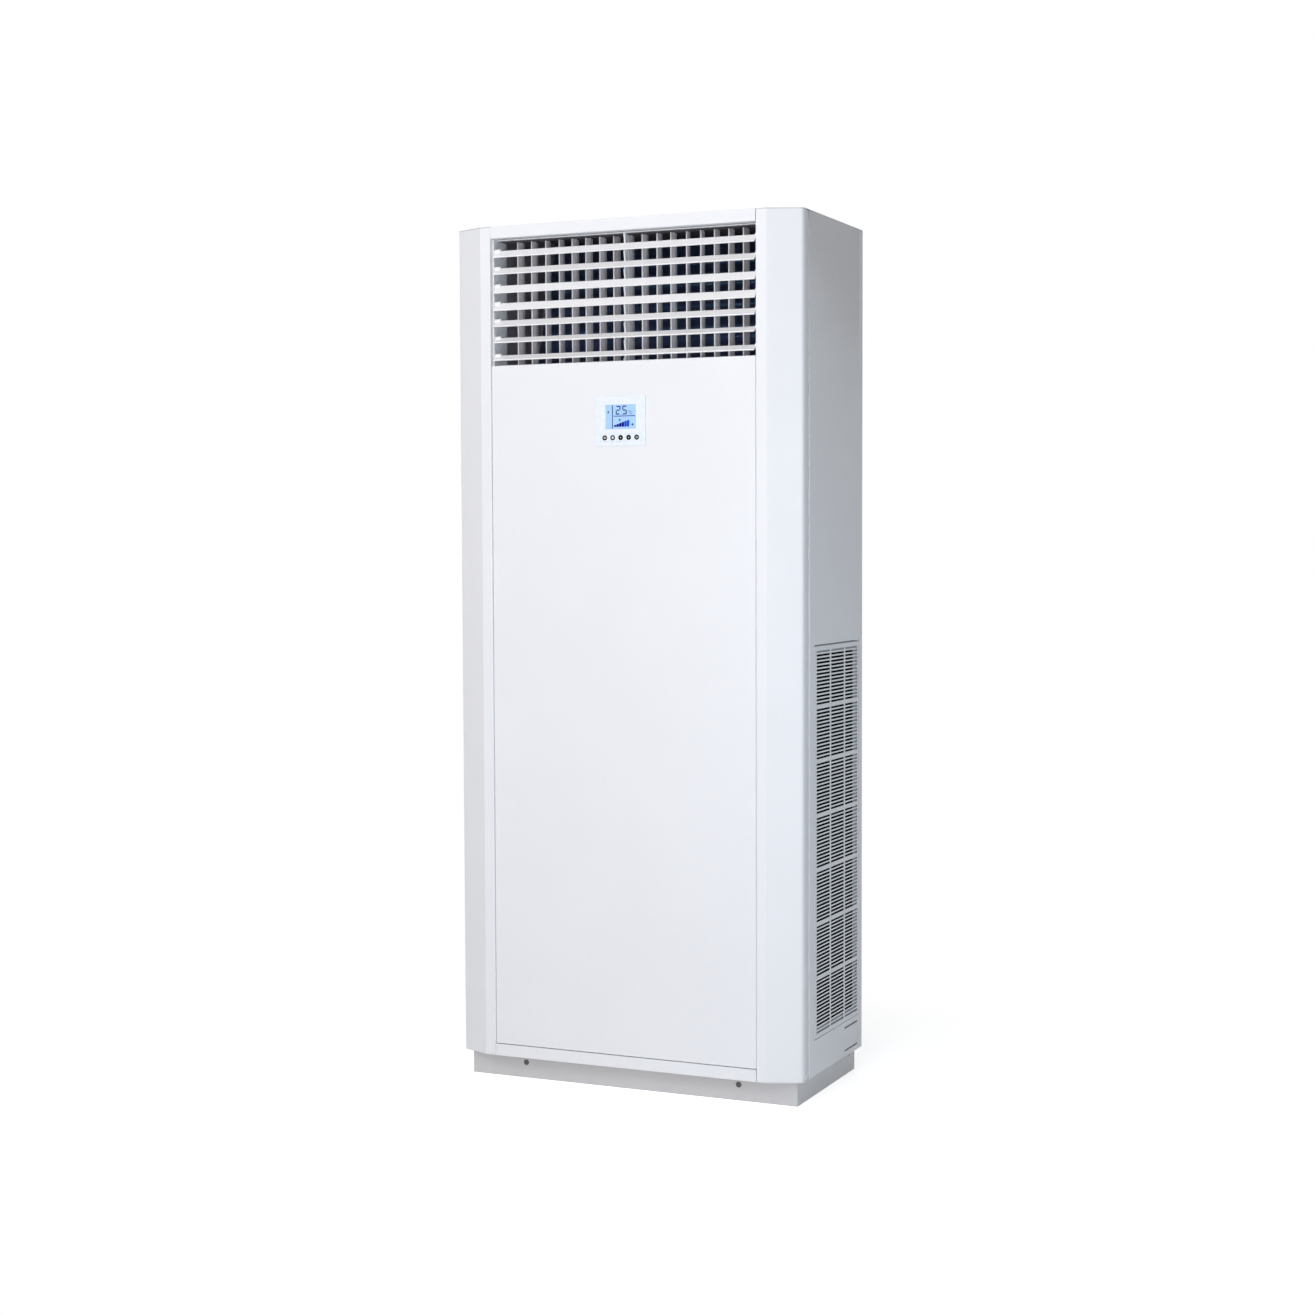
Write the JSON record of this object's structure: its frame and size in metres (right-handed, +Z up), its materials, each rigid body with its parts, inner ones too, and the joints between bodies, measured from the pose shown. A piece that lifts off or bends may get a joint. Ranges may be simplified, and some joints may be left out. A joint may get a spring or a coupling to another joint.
{
  "type": "floor standing air conditioner",
  "caption": "Tall white cabinet on a plinth with slanted front corners, a louvred discharge opening at the top, a control panel and slotted side return grilles.",
  "frame": {"origin": "on the floor under the middle of the cabinet", "axes": "+Z up, the front with its louvres and controls faces -Y, +X to its right"},
  "size_m": [0.8, 0.4, 1.85],
  "materials": {
    "white_steel": "smooth white powder coat, low sheen",
    "white_plastic": "moulded white plastic, soft gloss",
    "display_glass": "light blue lit display behind a clear window",
    "key_rubber": "printed membrane with round keys in dark rings",
    "vane_plastic": "warm grey moulded plastic",
    "duct_steel": "warm grey coated sheet",
    "coil_fins": "blue coated fins",
    "filter_mesh": "dark filter mesh"
  },
  "bodies": {
    "cabinet": {"plinth": "white_steel", "base_pan": "white_steel", "corner_post_left": "white_steel", "corner_post_right": "white_steel", "front_panel": "white_steel", "control_bezel": "white_plastic", "display_screen": "display_glass", "keypad": "key_rubber", "side_panel_left": "white_steel", "side_panel_right": "white_steel", "back_panel": "white_steel", "top_cover": "white_steel", "return_grille_left": "white_steel", "return_grille_right": "white_steel", "return_slats_left": "white_steel", "return_slats_right": "white_steel", "filter_left": "filter_mesh", "filter_right": "filter_mesh", "discharge_frame": "white_plastic", "duct_side_left": "duct_steel", "duct_side_right": "duct_steel", "duct_floor": "duct_steel", "coil": "coil_fins"},
    "louvre_1": {"louvre_1": "white_plastic"},
    "louvre_2": {"louvre_2": "white_plastic"},
    "louvre_3": {"louvre_3": "white_plastic"},
    "louvre_4": {"louvre_4": "white_plastic"},
    "louvre_5": {"louvre_5": "white_plastic"},
    "louvre_6": {"louvre_6": "white_plastic"},
    "louvre_7": {"louvre_7": "white_plastic"},
    "vane_01": {"vane_01": "vane_plastic"},
    "vane_02": {"vane_02": "vane_plastic"},
    "vane_03": {"vane_03": "vane_plastic"},
    "vane_04": {"vane_04": "vane_plastic"},
    "vane_05": {"vane_05": "vane_plastic"},
    "vane_06": {"vane_06": "vane_plastic"},
    "vane_07": {"vane_07": "vane_plastic"},
    "vane_08": {"vane_08": "vane_plastic"},
    "vane_09": {"vane_09": "vane_plastic"},
    "vane_10": {"vane_10": "vane_plastic"},
    "vane_11": {"vane_11": "vane_plastic"},
    "vane_12": {"vane_12": "vane_plastic"},
    "vane_13": {"vane_13": "vane_plastic"},
    "vane_14": {"vane_14": "vane_plastic"},
    "vane_15": {"vane_15": "vane_plastic"},
    "vane_16": {"vane_16": "vane_plastic"},
    "vane_17": {"vane_17": "vane_plastic"}
  },
  "joints": [
    {"name": "louvre_1_tilt", "type": "hinge", "parent": "cabinet", "child": "louvre_1", "pos_m": [0, -0.182, 1.7969], "axis": [1, 0, 0], "range_deg": [-46, 14]},
    {"name": "louvre_2_tilt", "type": "hinge", "parent": "cabinet", "child": "louvre_2", "pos_m": [0, -0.182, 1.75965], "axis": [1, 0, 0], "range_deg": [-42, 18]},
    {"name": "louvre_3_tilt", "type": "hinge", "parent": "cabinet", "child": "louvre_3", "pos_m": [0, -0.182, 1.7224], "axis": [1, 0, 0], "range_deg": [-53.5, 6.5]},
    {"name": "louvre_4_tilt", "type": "hinge", "parent": "cabinet", "child": "louvre_4", "pos_m": [0, -0.182, 1.68515], "axis": [1, 0, 0], "range_deg": [-53, 7]},
    {"name": "louvre_5_tilt", "type": "hinge", "parent": "cabinet", "child": "louvre_5", "pos_m": [0, -0.182, 1.6479], "axis": [1, 0, 0], "range_deg": [-41.5, 18.5]},
    {"name": "louvre_6_tilt", "type": "hinge", "parent": "cabinet", "child": "louvre_6", "pos_m": [0, -0.182, 1.61065], "axis": [1, 0, 0], "range_deg": [-32, 28]},
    {"name": "louvre_7_tilt", "type": "hinge", "parent": "cabinet", "child": "louvre_7", "pos_m": [0, -0.182, 1.5734], "axis": [1, 0, 0], "range_deg": [-33.5, 26.5]},
    {"name": "vane_01_swing", "type": "hinge", "parent": "cabinet", "child": "vane_01", "pos_m": [-0.2624, -0.137, 1.68825], "axis": [0, 0, 1], "range_deg": [-34, 36]},
    {"name": "vane_02_swing", "type": "hinge", "parent": "cabinet", "child": "vane_02", "pos_m": [-0.2296, -0.137, 1.68825], "axis": [0, 0, 1], "range_deg": [-37, 33]},
    {"name": "vane_03_swing", "type": "hinge", "parent": "cabinet", "child": "vane_03", "pos_m": [-0.1968, -0.137, 1.68825], "axis": [0, 0, 1], "range_deg": [-41, 29]},
    {"name": "vane_04_swing", "type": "hinge", "parent": "cabinet", "child": "vane_04", "pos_m": [-0.164, -0.137, 1.68825], "axis": [0, 0, 1], "range_deg": [-40, 30]},
    {"name": "vane_05_swing", "type": "hinge", "parent": "cabinet", "child": "vane_05", "pos_m": [-0.1312, -0.137, 1.68825], "axis": [0, 0, 1], "range_deg": [-33, 37]},
    {"name": "vane_06_swing", "type": "hinge", "parent": "cabinet", "child": "vane_06", "pos_m": [-0.0984, -0.137, 1.68825], "axis": [0, 0, 1], "range_deg": [-32, 38]},
    {"name": "vane_07_swing", "type": "hinge", "parent": "cabinet", "child": "vane_07", "pos_m": [-0.0656, -0.137, 1.68825], "axis": [0, 0, 1], "range_deg": [-32.5, 37.5]},
    {"name": "vane_08_swing", "type": "hinge", "parent": "cabinet", "child": "vane_08", "pos_m": [-0.0328, -0.137, 1.68825], "axis": [0, 0, 1], "range_deg": [-32, 38]},
    {"name": "vane_09_swing", "type": "hinge", "parent": "cabinet", "child": "vane_09", "pos_m": [0, -0.137, 1.68825], "axis": [0, 0, 1], "range_deg": [-35, 35]},
    {"name": "vane_10_swing", "type": "hinge", "parent": "cabinet", "child": "vane_10", "pos_m": [0.0328, -0.137, 1.68825], "axis": [0, 0, 1], "range_deg": [-34, 36]},
    {"name": "vane_11_swing", "type": "hinge", "parent": "cabinet", "child": "vane_11", "pos_m": [0.0656, -0.137, 1.68825], "axis": [0, 0, 1], "range_deg": [-38.5, 31.5]},
    {"name": "vane_12_swing", "type": "hinge", "parent": "cabinet", "child": "vane_12", "pos_m": [0.0984, -0.137, 1.68825], "axis": [0, 0, 1], "range_deg": [-35, 35]},
    {"name": "vane_13_swing", "type": "hinge", "parent": "cabinet", "child": "vane_13", "pos_m": [0.1312, -0.137, 1.68825], "axis": [0, 0, 1], "range_deg": [-44.5, 25.5]},
    {"name": "vane_14_swing", "type": "hinge", "parent": "cabinet", "child": "vane_14", "pos_m": [0.164, -0.137, 1.68825], "axis": [0, 0, 1], "range_deg": [-42, 28]},
    {"name": "vane_15_swing", "type": "hinge", "parent": "cabinet", "child": "vane_15", "pos_m": [0.1968, -0.137, 1.68825], "axis": [0, 0, 1], "range_deg": [-36, 34]},
    {"name": "vane_16_swing", "type": "hinge", "parent": "cabinet", "child": "vane_16", "pos_m": [0.2296, -0.137, 1.68825], "axis": [0, 0, 1], "range_deg": [-34, 36]},
    {"name": "vane_17_swing", "type": "hinge", "parent": "cabinet", "child": "vane_17", "pos_m": [0.2624, -0.137, 1.68825], "axis": [0, 0, 1], "range_deg": [-33, 37]}
  ]
}
